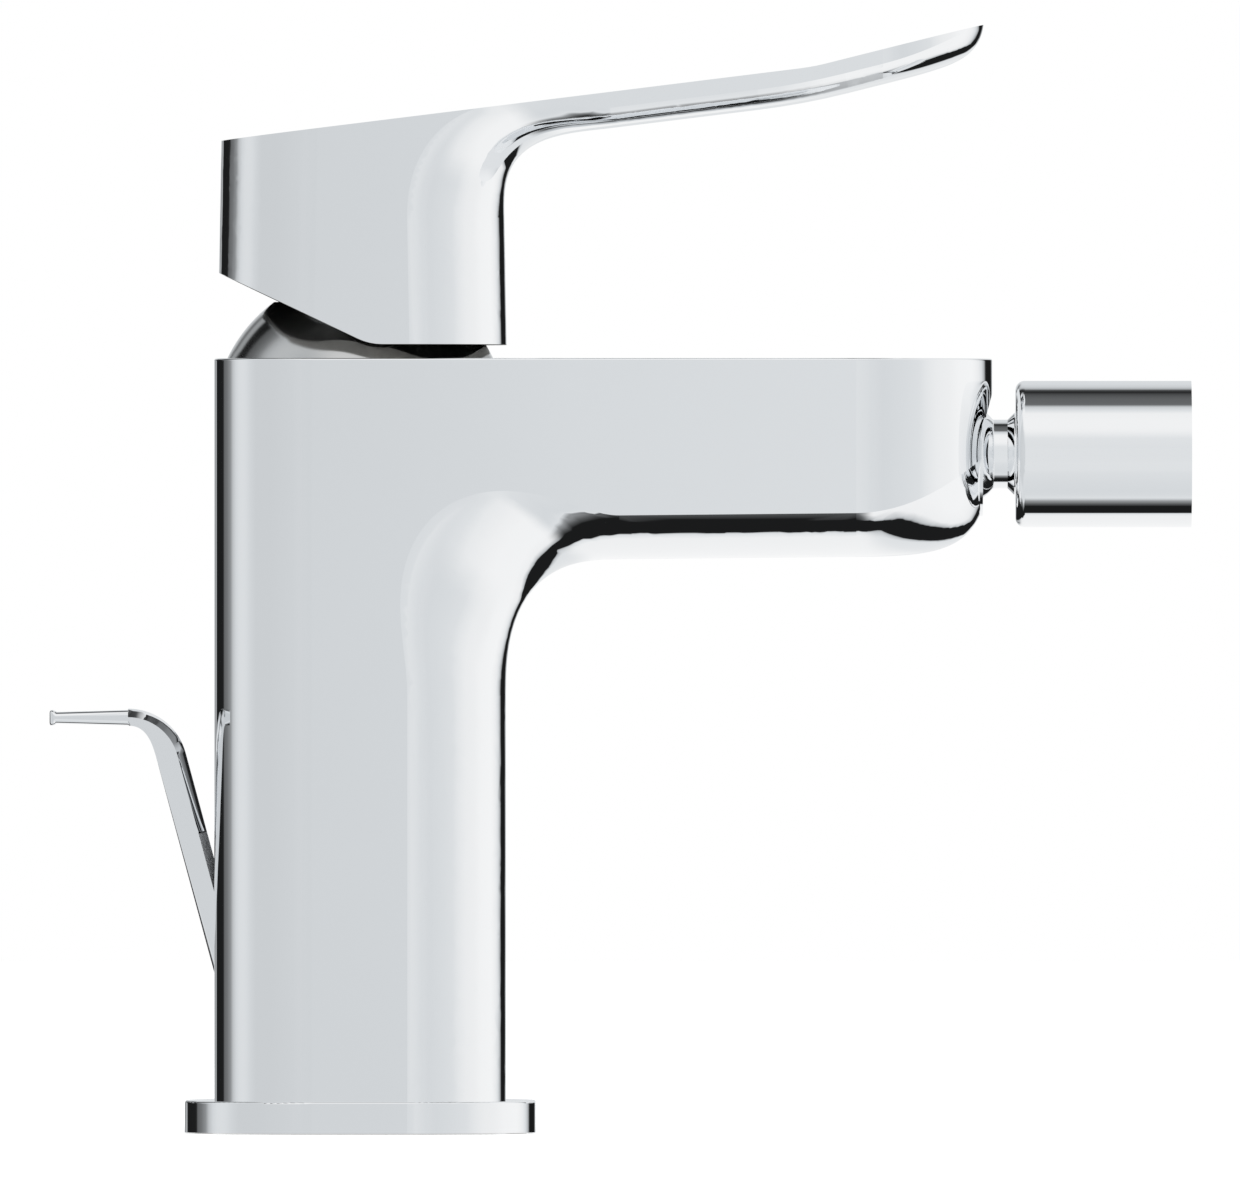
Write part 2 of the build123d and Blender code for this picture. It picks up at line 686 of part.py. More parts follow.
def paddle_tools():
    """Tools that shape the front of the block and the underside of the paddle."""
    draft = radians(lever_draft)
    face_x = lever_front(lever_junction_height)
    axis_x = face_x + lever_junction_reach * cos(draft)
    axis_z = lever_junction_height + lever_junction_reach * sin(draft)
    end = 90 - paddle_slope
    corner = arc_edge(lever_corner, lever_corner)
    edge = arc_edge(paddle_edge_run, paddle_edge_depth)
    fan = fan_tool(axis_x, axis_z, -lever_draft, end, lever_junction_reach, lever_junction_drop,
                   lever_junction_power, lever_half, corner, edge, 0, lever_junction_lateness)

    front = fan_plane(axis_x, axis_z, -lever_draft, lever_junction_reach)
    front = front * edge_tool(lever_half, corner, paddle_tip)
    fan += extrude(front, lever_junction_height - lever_bottom + 3 * over)

    depth = lever_junction_drop + lever_corner
    deep = edge_tool(lever_half, edge, depth)
    slope = radians(paddle_slope)
    late = radians(paddle_end_slope)
    start = fan_plane(axis_x, axis_z, end, lever_junction_drop)
    run = (paddle_bend_start - start.origin.X) / cos(slope)
    fan += extrude(start * deep, run, dir=(cos(slope), 0, sin(slope)))
    bend_z = start.origin.Z + run * sin(slope)
    centre_x = paddle_bend_start - paddle_bend_radius * sin(slope)
    centre_z = bend_z + paddle_bend_radius * cos(slope)
    bend = slope_plane(paddle_bend_start, bend_z, paddle_slope) * deep
    axis = Axis((centre_x, 0, centre_z), (0, -1, 0))
    fan += revolve(bend, axis, paddle_end_slope - paddle_slope)
    last_x = centre_x + paddle_bend_radius * sin(late)
    last_z = centre_z - paddle_bend_radius * cos(late)
    last = slope_plane(last_x, last_z, paddle_end_slope) * deep
    corner_x = paddle_tip - paddle_tip_corner
    straight = extrude(last, paddle_tip - last_x, dir=(cos(late), 0, sin(late)))
    side = lever_half + 2 * over
    fan += straight & box_between(0, corner_x, -side, side, 0, 2 * last_z)
    nose = nose_tool(corner_x, lever_half - paddle_tip_corner, last_z + (corner_x - last_x) * tan(late),
                     paddle_tip_corner, late, tilted_edge(edge, late),
                     full_edge(tip_run, tip_depth, tip_lean, tip_shares), depth)
    return fan, nose


def lever_outside():
    rear = lever_offset - lever_half
    plan = Rectangle(paddle_tip - rear + over, lever_width, align=(Align.MIN, Align.CENTER))
    plan = fillet(plan.vertices().group_by(Axis.X)[-1], paddle_tip_corner)
    height = lever_top(paddle_tip) - lever_bottom + 2 * over
    block = extrude(Plane((rear - over, 0, lever_bottom - over)) * plan, height)
    fan, nose = paddle_tools()
    block = block - fan - nose

    draft = radians(lever_draft)
    back = Plane((rear - over * sin(draft), 0, lever_bottom - over), x_dir=(0, 1, 0),
                 z_dir=(sin(draft), 0, cos(draft)))
    back = back * edge_tool(lever_half, arc_edge(lever_corner, lever_corner), 3 * over)
    block -= extrude(back, height)

    far_back = rear - 3 * over
    far_front = paddle_tip + 3 * over
    line = FilletPolyline([(far_back, 0, lever_top(far_back)), (paddle_kink, 0, lever_top(paddle_kink)),
                           (far_front, 0, lever_top(far_front))], radius=paddle_kink_radius)
    high = lever_top(far_front) + over
    cap = Polyline((far_front, 0, lever_top(far_front)), (far_front, 0, high), (far_back, 0, high),
                   (far_back, 0, lever_top(far_back)))
    block -= prism_y([line, cap], lever_half + over)

    rise = (lever_slant_start - far_back) * tan(radians(lever_slant))
    line = FilletPolyline([(far_back, 0, lever_bottom + rise), (lever_slant_start, 0, lever_bottom),
                           (far_front, 0, lever_bottom)], radius=lever_slant_round)
    low = lever_bottom - 2 * over
    cap = Polyline((far_front, 0, lever_bottom), (far_front, 0, low), (far_back, 0, low),
                   (far_back, 0, lever_bottom + rise))
    return block - prism_y([line, cap], lever_half + over)


def lever_handle():
    lever = lever_outside()
    inner = lever_half - lever_wall
    low = lever_bottom - over
    hollow = rounded_block(inner, lever_corner - lever_wall, low, lever_top(inner), lever_offset)
    roof = prism_y(closed_line((-lever_half, low), (lever_half, low),
                               (lever_half, lever_top(lever_half) - lever_roof),
                               (-lever_half, lever_top(-lever_half) - lever_roof)), lever_half)
    hollow = (hollow & roof) - rod_z(hub_radius, low - over, lever_top(inner))
    lever -= hollow
    lever -= Pos(0, 0, pivot_height) * Sphere(dome_radius + lever_clearance)
    side = spindle_square / 2 + socket_gap
    lever -= box_between(-side, side, -side, side, pivot_height, spindle_top + socket_gap)
    lever -= rod_x(screw_radius + thread_gap, 0, inner, screw_height)
    return lever - rod_x(plug_radius + thread_gap, inner - over, lever_front(screw_height) + over,
                         screw_height)


def grub_screw():
    start = spindle_square / 2 + thread_gap
    screw = rod_x(screw_radius, start, start + screw_length, screw_height)
    plane = Plane((start + screw_length, 0, screw_height), x_dir=(0, 1, 0), z_dir=(-1, 0, 0))
    key = RegularPolygon(screw_key_flats / 2, 6, major_radius=False)
    return screw - extrude(plane * key, screw_key_depth)


def index_plug():
    end = lever_front(screw_height) - plug_step
    return rod_x(plug_radius, end - plug_length, end, screw_height)


def rod_plane(distance):
    """Plane across the pull bar, `distance` along it from its entry into the column.

    Local x runs across the mixer and local y points back and down.
    """
    a = radians(rod_angle)
    origin = (-half - distance * sin(a), 0, rod_entry_height + distance * cos(a))
    return Plane(origin, x_dir=(0, 1, 0), z_dir=(-sin(a), 0, cos(a)))


def bar_section():
    w = bar_width / 2
    t = bar_thickness / 2
    return make_face(Polyline((-w, t), (w, t), (w, bar_chamfer - t), (w - bar_chamfer_width, -t),
                              (bar_chamfer_width - w, -t), (-w, bar_chamfer - t), close=True))


def guide_section(gap):
    room = 2 * (guide_play + guide_wall + gap)
    return Rectangle(bar_width + room, bar_thickness + room)


def rod_guide():
    sleeve = extrude(rod_plane(-guide_reach) * guide_section(0), guide_reach + guide_rise)
    bore = Rectangle(bar_width + 2 * guide_play, bar_thickness + 2 * guide_play)
    sleeve -= extrude(rod_plane(-guide_reach - over) * bore, guide_reach + guide_rise + 2 * over)
    return sleeve & box_between(-half, half, -half, half, 0, cavity_top)


def pull_handle():
    bar = extrude(rod_plane(-bar_end) * bar_section(), bar_end + bar_rise)
    bar -= extrude(rod_plane(-bar_end - over) * Circle(rod_radius + thread_gap),
                   rod_socket_depth + over)
    top = rod_plane(bar_rise)
    a = radians(rod_angle)
    centre_x = top.origin.X - bend_radius * cos(a)
    centre_z = top.origin.Z - bend_radius * sin(a)
    bend = revolve(top * bar_section(), Axis((centre_x, 0, centre_z), (0, -1, 0)), 90 - rod_angle)
    low = top.from_local_coords(Vector(0, bar_thickness / 2, 0))
    grip = bend_grip_share * (bend_radius - bar_thickness / 2)
    high = centre_z + bend_radius - bar_thickness / 2 + bend_thinning
    curve = Bezier((low.X, 0, low.Z), (low.X - grip * sin(a), 0, low.Z + grip * cos(a)),
                   (centre_x + grip, 0, high), (centre_x, 0, high))
    rest = Polyline((centre_x, 0, high), (centre_x, 0, centre_z), (low.X, 0, low.Z))
    bend -= prism_y([curve, rest], bar_width / 2 + over)
    upper = centre_z + bend_radius + bar_thickness / 2 - tab_step
    end = centre_x - tab_length
    middle = upper - tab_root / 2
    tab = prism_y(closed_line((centre_x, upper), (centre_x, upper - tab_root),
                              (end, middle - tab_tip / 2), (end, middle + tab_tip / 2)),
                  bar_width / 2)
    flare = tab_tip / 2 + lip_flare
    lip = prism_y(closed_line((end, middle - tab_tip / 2), (end - lip_length, middle - flare),
                              (end - lip_length, middle + flare), (end, middle + tab_tip / 2)),
                  bar_width / 2)
    return bar + bend + tab + lip


def pull_rod():
    start = bar_end - rod_socket_depth + fit_gap
    return extrude(rod_plane(-rod_end) * Circle(rod_radius), rod_end - start)


def ball_seal():
    return ring_x(socket_throat, socket_radius - fit_gap, socket_seat,
                  socket_seat + ball_seal_thickness, ball_height)


def at_axis(x, radius):
    """Point of a turned outline above the nozzle's axis."""
    return (x, 0, ball_height + radius)


def turned(outline):
    return revolve(make_face(outline), Axis((ball_x, 0, ball_height), (1, 0, 0)))


def cupped_ring(bore, outer, x0, x1):
    """Ring from x0 to x1 whose inside is hollowed to the ball's shape."""
    space = ball_radius + ball_gap
    side = 1 if x1 > ball_x + ball_gap else -1
    near = x0 if side > 0 else x1
    far = x1 if side > 0 else x0
    rim = ball_x + side * sqrt(space ** 2 - bore ** 2)
    middle = (near + rim) / 2

    def cup(x):
        return at_axis(x, sqrt(space ** 2 - (x - ball_x) ** 2))

    return turned([
        ThreePointArc(cup(near), cup(middle), at_axis(rim, bore)),
        Polyline(at_axis(rim, bore), at_axis(far, bore), at_axis(far, outer), at_axis(near, outer),
                 cup(near)),
    ])


def ball_seat_ring():
    back = socket_seat + ball_seal_thickness + water_film
    return cupped_ring(seat_ring_bore, socket_radius - fit_gap, back, seat_ring_front)


def ball_retainer():
    return cupped_ring(retainer_mouth, socket_radius - thread_gap, retainer_back, retainer_front)


def swivel_ball():
    """Ball, neck, collar and threaded spigot, turned from one bar."""
    back = ball_x - sqrt(ball_radius ** 2 - ball_bore ** 2)
    flare_radius = neck_radius + neck_flare
    flare_x = ball_x + sqrt(ball_radius ** 2 - flare_radius ** 2)
    neck_x = ball_x + sqrt(ball_radius ** 2 - neck_radius ** 2)
    collar_x = nozzle_back - collar_length
    collar_radius = neck_radius + collar_step

    return turned([
        ThreePointArc(at_axis(back, ball_bore), at_axis(ball_x, ball_radius),
                      at_axis(flare_x, flare_radius)),
        Bezier(at_axis(flare_x, flare_radius), at_axis(neck_x, neck_radius),
               at_axis(neck_x + neck_flare, neck_radius)),
        Polyline(at_axis(neck_x + neck_flare, neck_radius), at_axis(collar_x - collar_step, neck_radius),
                 at_axis(collar_x, collar_radius),
                 at_axis(nozzle_back - thread_gap, collar_radius),
                 at_axis(nozzle_back - thread_gap, spigot_radius),
                 at_axis(nozzle_back + spigot_length, spigot_radius),
                 at_axis(nozzle_back + spigot_length, ball_bore), at_axis(back, ball_bore)),
    ])


def nozzle_shell():
    shell = rod_x(nozzle_radius, nozzle_back, nozzle_front, ball_height)
    shell = fillet(shell.edges().group_by(Axis.X)[0], nozzle_back_round)
    bore = nozzle_radius - nozzle_wall
    shell -= rod_x(bore, aerator_ledge, nozzle_front + over, ball_height)
    shell -= rod_x(bore - aerator_ledge_width, nozzle_back + nozzle_back_wall, aerator_ledge + over,
                   ball_height)
    return shell - rod_x(spigot_radius + thread_gap, nozzle_back - over, aerator_ledge, ball_height)


def nozzle_washer():
    start = nozzle_back + nozzle_back_wall
    outer = nozzle_radius - nozzle_wall - aerator_ledge_width - washer_play
    return ring_x(spigot_radius + thread_gap, outer, start, start + washer_thickness, ball_height)


def aerator_seal():
    bore = nozzle_radius - nozzle_wall
    return ring_x(bore - aerator_wall, bore - fit_gap, aerator_ledge,
                  aerator_ledge + aerator_seal_thickness, ball_height)


def aerator_housing():
    outer = nozzle_radius - nozzle_wall - fit_gap
    start = aerator_ledge + aerator_seal_thickness
    end = nozzle_front - aerator_inset
    inner = outer - aerator_wall
    cup = rod_x(outer, start, end, ball_height)
    cup -= rod_x(inner, start - over, end - grid_thickness, ball_height)
    hole = (grid_pitch - grid_bar) / 2
    reach = int(inner / grid_pitch)
    for i in range(-reach, reach + 1):
        for j in range(-reach, reach + 1):
            y = i * grid_pitch
            z = j * grid_pitch
            if hypot(abs(y) + hole, abs(z) + hole) < inner:
                cup -= box_between(end - grid_thickness - over, end + over, y - hole, y + hole,
                                   ball_height + z - hole, ball_height + z + hole)
    return cup


def aerator_screen():
    radius = nozzle_radius - nozzle_wall - aerator_wall - 2 * fit_gap
    start = aerator_ledge + screen_reach
    return rod_x(radius, start, start + screen_thickness, ball_height)


pieces = {
    "base_plate": base_plate,
    "base_seal": base_seal,
    "body_housing": body_housing,
    "hot_inlet_bush": lambda: inlet_bush(-1),
    "cold_inlet_bush": lambda: inlet_bush(1),
    "stud_bush": stud_bush,
    "rod_guide": rod_guide,
    "cartridge_base": cartridge_base,
    "port_seals": port_seals,
    "fixed_disc": fixed_disc,
    "cartridge_housing": cartridge_housing,
    "retaining_nut": retaining_nut,
    "dome_cap": dome_cap,
    "spindle_carrier": spindle_carrier,
    "pivot_pin": pivot_pin,
    "moving_disc": moving_disc,
    "disc_driver": disc_driver,
    "spindle": spindle,
    "lever_handle": lever_handle,
    "grub_screw": grub_screw,
    "index_plug": index_plug,
    "pull_handle": pull_handle,
    "pull_rod": pull_rod,
    "ball_seal": ball_seal,
    "ball_retainer": ball_retainer,
    "ball_seat_ring": ball_seat_ring,
    "swivel_ball": swivel_ball,
    "nozzle_shell": nozzle_shell,
    "nozzle_washer": nozzle_washer,
    "aerator_seal": aerator_seal,
    "aerator_housing": aerator_housing,
    "aerator_screen": aerator_screen,
}

os.makedirs("parts", exist_ok=True)
for name, make in pieces.items():
    export_step(make(), os.path.join("parts", name + ".step"))
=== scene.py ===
import bmesh
import bpy
from math import pi
from mathutils import Matrix, Vector


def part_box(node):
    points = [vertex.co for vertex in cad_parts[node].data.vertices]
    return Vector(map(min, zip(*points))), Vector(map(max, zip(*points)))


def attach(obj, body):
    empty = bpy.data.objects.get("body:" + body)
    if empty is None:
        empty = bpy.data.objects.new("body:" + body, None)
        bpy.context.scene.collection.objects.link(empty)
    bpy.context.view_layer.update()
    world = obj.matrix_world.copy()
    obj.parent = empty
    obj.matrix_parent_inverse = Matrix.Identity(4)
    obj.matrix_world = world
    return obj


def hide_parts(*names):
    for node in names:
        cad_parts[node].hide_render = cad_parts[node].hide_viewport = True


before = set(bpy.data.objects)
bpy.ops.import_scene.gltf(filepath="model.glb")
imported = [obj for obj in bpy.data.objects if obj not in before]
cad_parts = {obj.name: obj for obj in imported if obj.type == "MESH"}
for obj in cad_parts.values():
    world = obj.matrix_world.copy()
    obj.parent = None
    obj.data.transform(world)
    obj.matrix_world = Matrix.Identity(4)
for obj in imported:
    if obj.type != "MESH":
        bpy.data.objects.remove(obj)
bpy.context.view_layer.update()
scene = bpy.context.scene
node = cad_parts

# Camera
# A long lens, level with the middle of the mixer and looking along +Y, so that the side
# of the column and spout shows without perspective, as in a catalogue picture.
camera_distance = 6.5
camera_width = 0.17714
camera_x, camera_z = 0.0371, 0.0773
sensor_width = 36.0


def placed(name, data):
    made = bpy.data.objects.new(name, data)
    scene.collection.objects.link(made)
    return made


camera = placed("camera", bpy.data.cameras.new("camera"))
camera.data.sensor_width = sensor_width
camera.data.lens = sensor_width * camera_distance / camera_width
camera.location = (camera_x, -camera_distance, camera_z)
camera.rotation_euler = (pi / 2, 0, 0)
scene.camera = camera
scene.view_settings.view_transform = "Standard"

# Room round the set
# White for the camera and through clear things, plain grey light for matt surfaces.
# Chrome sees a studio: a grey front, pale sides and top, and a ring of black flags behind.
half_turn = 180
ambient_light = 0.62
ring_of_flags = (                # roll round the camera's axis, start and end of the black
    (-180, 128, 154), (-172, 124, 158), (-165, 120, 174), (-150, 112, 165), (-135, 104, 150),
    (-112, 98, 126), (-103, 107, 124), (-98, 96, 116), (-95, 83, 113), (-91.5, 89.5, 108),
    (-90, 90, 108), (-75, 96, 108), (-60, 101, 138), (-45, 118, 160), (-30, 146, 165),
    (-12, 150, 162), (0, 143, 164), (15, 138, 164), (45, 108, 146), (90, 84, 127),
    (135, 122, 138), (150, 126, 139), (165, 139, 166), (175, 130, 156), (180, 128, 154))
light_steps = 3.0                # each light below is step and level, and the black is steps 1 to 2
right_light = (
    (0.0, 0.71), (0.17, 0.727), (0.3, 0.758), (0.383, 0.785), (0.426, 0.836), (0.468, 0.87),
    (0.51, 0.896), (0.596, 0.915), (0.68, 0.955), (0.81, 0.968), (0.85, 0.941), (0.894, 0.888),
    (0.936, 0.77), (0.975, 0.5), (1.005, 0.02), (1.2, 0.011), (1.95, 0.011), (2.1, 0.125),
    (2.35, 0.4), (2.6, 0.7), (3.0, 0.75))
upper_light = (
    (0.0, 0.72), (0.14, 0.79), (0.29, 0.806), (0.36, 0.87), (0.43, 0.922), (0.5, 0.94), (0.64, 0.94),
    (0.79, 0.922), (0.87, 0.78), (0.945, 0.636), (0.975, 0.36), (1.0, 0.15), (1.14, 0.135),
    (1.28, 0.13), (1.42, 0.107), (1.56, 0.075), (1.7, 0.02), (1.84, 0.063), (1.98, 0.5), (2.1, 0.66),
    (2.32, 0.735), (3.0, 0.75))
left_light = (
    (0.0, 0.71), (0.19, 0.68), (0.39, 0.66), (0.547, 0.66), (0.61, 0.705), (0.66, 0.757),
    (0.7, 0.773), (0.75, 0.766), (0.797, 0.705), (0.844, 0.55), (0.88, 0.30), (0.937, 0.185),
    (0.984, 0.143), (1.04, 0.03), (1.15, 0.0138), (1.95, 0.0118), (2.0, 0.2), (2.07, 0.45),
    (2.2, 0.45), (2.36, 0.15), (2.57, 0.6), (2.8, 0.74), (3.0, 0.75))
lower_light = (
    (0.0, 0.72), (0.07, 0.806), (0.27, 0.80), (0.34, 0.775), (0.5, 0.75), (0.68, 0.733), (0.75, 0.743),
    (0.82, 0.78), (0.85, 0.62), (0.886, 0.33), (0.955, 0.113), (1.0, 0.03), (1.04, 0.0118),
    (1.97, 0.0118), (2.02, 0.8), (2.1, 0.92), (2.75, 0.96), (2.92, 0.97), (2.97, 0.75), (3.0, 0.75))
corner_light = (                 # low on the right
    (0.0, 0.72), (0.12, 0.76), (0.2, 0.80), (0.27, 0.87), (0.35, 0.90), (0.43, 0.925), (0.54, 0.95),
    (0.8, 0.958), (0.93, 0.92), (0.985, 0.6), (1.03, 0.012), (1.93, 0.012), (2.04, 0.6), (2.15, 0.8),
    (2.9, 0.85), (3.0, 0.75))
corner_rises = (-87.0, -74.0)    # rolls between which the corner light comes in
corner_falls = (-38.0, -14.0)    # and goes out again
turns_upright = (0.75, 0.98)     # steepness at which the side lights give way to top and bottom
sky_light = (                    # spread from the camera's axis, and level
    (0, 0.72), (40, 0.78), (90, 0.86), (140, 0.84), (165, 0.79), (180, 0.75))
open_sky = (                     # roll, and how far the flags leave the sky open there
    (-180, 0), (22, 0), (32, 1), (72, 1), (82, 0), (180, 0))
neutral_level = 0.93             # a grey darker than this turns a little blue
blue_range = 0.2
red_loss = 0.03
blue_gain_share = 0.8
smallest_reach = 0.000001        # keeps the division sound along the camera's axis


def add_node(tree, kind, **settings):
    made = tree.nodes.new(kind)
    for name, value in settings.items():
        setattr(made, name, value)
    return made


def join(tree, source, target):
    tree.links.new(source, target)


def feed(tree, value, socket):
    if isinstance(value, (int, float, tuple)):
        socket.default_value = value
    else:
        join(tree, value, socket)


def arithmetic(tree, operation, *values):
    made = add_node(tree, "ShaderNodeMath", operation=operation)
    for socket, value in zip(made.inputs, values):
        feed(tree, value, socket)
    return made.outputs[0]


def squared(tree, value):
    return arithmetic(tree, "MULTIPLY", value, value)


def sum_of_squares(tree, first, *others):
    total = squared(tree, first)
    for value in others:
        total = arithmetic(tree, "ADD", total, squared(tree, value))
    return total


def rescale(tree, value, low, high, to_low=0.0, to_high=1.0, smooth=False):
    made = add_node(tree, "ShaderNodeMapRange", clamp=True,
                    interpolation_type="SMOOTHSTEP" if smooth else "LINEAR")
    join(tree, value, made.inputs["Value"])
    made.inputs["From Min"].default_value = low
    made.inputs["From Max"].default_value = high
    made.inputs["To Min"].default_value = to_low
    made.inputs["To Max"].default_value = to_high
    return made.outputs["Result"]


def ramp(tree, value, stops, low, high):
    made = add_node(tree, "ShaderNodeValToRGB")
    marks = made.color_ramp.elements
    while len(marks) < len(stops):
        marks.new(1.0)
    for mark, (place, colour) in zip(marks, stops):
        mark.position = (place - low) / (high - low)
        mark.color = colour
    join(tree, rescale(tree, value, low, high), made.inputs["Fac"])
    return made.outputs["Color"]


def grey(level):
    return (level, level, level, 1.0)


def studio_grey(level):
    coolness = min(1.0, max(0.0, (neutral_level - level) / blue_range)) * red_loss
    return (level * (1 - coolness), level, level * (1 + coolness * blue_gain_share), 1.0)


def light_ramp(tree, value, stops, low, high):
    return ramp(tree, value, [(place, studio_grey(level)) for place, level in stops], low, high)


def blend_colours(tree, share, first, second, way="MIX"):
    made = add_node(tree, "ShaderNodeMix", data_type="RGBA", blend_type=way)
    factor, colour_a, colour_b = made.inputs[0], made.inputs[6], made.inputs[7]
    feed(tree, share, factor)
    feed(tree, first, colour_a)
    feed(tree, second, colour_b)
    return made.outputs[2]


def seen_directly(tree, rays):
    return arithmetic(tree, "MAXIMUM", rays.outputs["Is Camera Ray"], rays.outputs["Is Transmission Ray"])


world = bpy.data.worlds.new("studio")
scene.world = world
world.use_nodes = True
room = world.node_tree
room.nodes.clear()
apart = add_node(room, "ShaderNodeSeparateXYZ")
join(room, add_node(room, "ShaderNodeTexCoord").outputs["Generated"], apart.inputs[0])
east, north, up = apart.outputs
roll = arithmetic(room, "DEGREES", arithmetic(room, "ARCTAN2", up, east))
south = arithmetic(room, "MULTIPLY", north, -1.0)
spread = arithmetic(room, "DEGREES", arithmetic(room, "ARCCOSINE", south))
flags = add_node(room, "ShaderNodeSeparateColor")
flag_stops = [(turn, (start / half_turn, end / half_turn, 0, 1)) for turn, start, end in ring_of_flags]
join(room, ramp(room, roll, flag_stops, -half_turn, half_turn), flags.inputs[0])
black_start = arithmetic(room, "MULTIPLY", flags.outputs[0], half_turn)
black_end = arithmetic(room, "MULTIPLY", flags.outputs[1], half_turn)


def share_of(low, high):
    made = arithmetic(room, "DIVIDE", arithmetic(room, "SUBTRACT", spread, low),
                      arithmetic(room, "SUBTRACT", high, low))
    return arithmetic(room, "MINIMUM", arithmetic(room, "MAXIMUM", made, 0.0), 1.0)


before = share_of(0, black_start)
within = share_of(black_start, black_end)
behind = share_of(black_end, half_turn)
step = arithmetic(room, "ADD", before, arithmetic(room, "ADD", within, behind))
reach = arithmetic(room, "MAXIMUM", sum_of_squares(room, east, up), smallest_reach)
steepness = arithmetic(room, "DIVIDE", arithmetic(room, "ABSOLUTE", up),
                       arithmetic(room, "SQRT", reach))
tall = rescale(room, steepness, *turns_upright, smooth=True)
wide = arithmetic(room, "SUBTRACT", 1.0, tall)


def weight(value, sign, share):
    towards = arithmetic(room, "GREATER_THAN", arithmetic(room, "MULTIPLY", value, sign), 0.0)
    return arithmetic(room, "MULTIPLY", towards, share)


seen_in_metal = grey(0.0)
for value, sign, share, stops in ((east, 1.0, wide, right_light), (up, 1.0, tall, upper_light),
                                  (east, -1.0, wide, left_light), (up, -1.0, tall, lower_light)):
    side = blend_colours(room, weight(value, sign, share), grey(0.0),
                         light_ramp(room, step, stops, 0.0, light_steps))
    seen_in_metal = blend_colours(room, 1.0, seen_in_metal, side, way="ADD")
corner = arithmetic(room, "MULTIPLY", rescale(room, roll, *corner_rises, smooth=True),
                    rescale(room, roll, *corner_falls, 1.0, 0.0, smooth=True))
seen_in_metal = blend_colours(room, corner, seen_in_metal,
                              light_ramp(room, step, corner_light, 0.0, light_steps))
gaps = ramp(room, roll, [(turn, grey(share)) for turn, share in open_sky], -half_turn, half_turn)
seen_in_metal = blend_colours(room, gaps, seen_in_metal,
                              light_ramp(room, spread, sky_light, 0.0, half_turn))
rays = add_node(room, "ShaderNodeLightPath")
soft = blend_colours(room, rays.outputs["Is Glossy Ray"], grey(ambient_light), seen_in_metal)
shown = blend_colours(room, seen_directly(room, rays), soft, grey(1.0))
sky = add_node(room, "ShaderNodeBackground")
join(room, shown, sky.inputs["Color"])
join(room, sky.outputs[0], add_node(room, "ShaderNodeOutputWorld").inputs["Surface"])

# Floor
# A plain white sweep that keeps the mixer's soft shadow. Polished metal sees the lower
# side of the studio through it, and so does a camera below it, which shows the inlets.
floor_half = 3.0
floor_drop = 0.0002
floor_shade = 0.80
floor_glow = 0.52


def flat_card(name, x_low, x_high, y_low, y_high, z):
    mesh = bpy.data.meshes.new(name)
    form = bmesh.new()
    bmesh.ops.create_grid(form, x_segments=1, y_segments=1, size=0.5)
    bmesh.ops.scale(form, vec=(x_high - x_low, y_high - y_low, 1), verts=form.verts)
    bmesh.ops.translate(form, vec=((x_low + x_high) / 2, (y_low + y_high) / 2, z), verts=form.verts)
    form.to_mesh(mesh)
    form.free()
    return placed(name, mesh)


def blank_material(name):
    made = bpy.data.materials.new(name)
    made.use_nodes = True
    made.node_tree.nodes.clear()
    return made, made.node_tree, add_node(made.node_tree, "ShaderNodeOutputMaterial")


def blend_shaders(tree, share, first, second):
    made = add_node(tree, "ShaderNodeMixShader")
    for source, socket in zip((share, first.outputs[0], second.outputs[0]), made.inputs):
        join(tree, source, socket)
    return made


floor = flat_card("floor", -floor_half, floor_half, -floor_half, floor_half, -floor_drop)
sweep, tree, end = blank_material("white_sweep")
rays = add_node(tree, "ShaderNodeLightPath")
matt = add_node(tree, "ShaderNodeBsdfDiffuse")
matt.inputs["Color"].default_value = grey(floor_shade)
glow = add_node(tree, "ShaderNodeEmission")
glow.inputs["Strength"].default_value = floor_glow
both = add_node(tree, "ShaderNodeAddShader")
join(tree, matt.outputs[0], both.inputs[0])
join(tree, glow.outputs[0], both.inputs[1])
clear = add_node(tree, "ShaderNodeBsdfTransparent")
hidden = arithmetic(tree, "MAXIMUM", rays.outputs["Is Glossy Ray"],
                    add_node(tree, "ShaderNodeNewGeometry").outputs["Backfacing"])
shown = blend_shaders(tree, hidden, blend_shaders(tree, seen_directly(tree, rays), matt, both), clear)
join(tree, shown.outputs[0], end.inputs["Surface"])
floor.data.materials.append(sweep)

# Paper screen in front
# A lit paper screen round the camera's axis, a little brighter to the right. The flat
# faces of the mixer reflect nothing else, so it gives them their even grey.
screen_y = -0.80
screen_x = (-0.30, 0.42)
screen_z = (-0.12, 0.34)
screen_fade_x = 0.16
screen_fade_z = 0.14
screen_light = (                 # place across the screen, and level
    (-0.30, 0.70), (-0.03, 0.685), (0.0, 0.705), (0.03, 0.745), (0.075, 0.765), (0.10, 0.80),
    (0.16, 0.78), (0.25, 0.75), (0.42, 0.745))


def object_place(tree):
    place = add_node(tree, "ShaderNodeSeparateXYZ")
    join(tree, add_node(tree, "ShaderNodeTexCoord").outputs["Object"], place.inputs[0])
    return place.outputs


def soft_edge(tree, place, low, high, fade):
    rise = rescale(tree, place, low, low + fade, smooth=True)
    fall = rescale(tree, place, high - fade, high, 1.0, 0.0, smooth=True)
    return arithmetic(tree, "MULTIPLY", rise, fall)


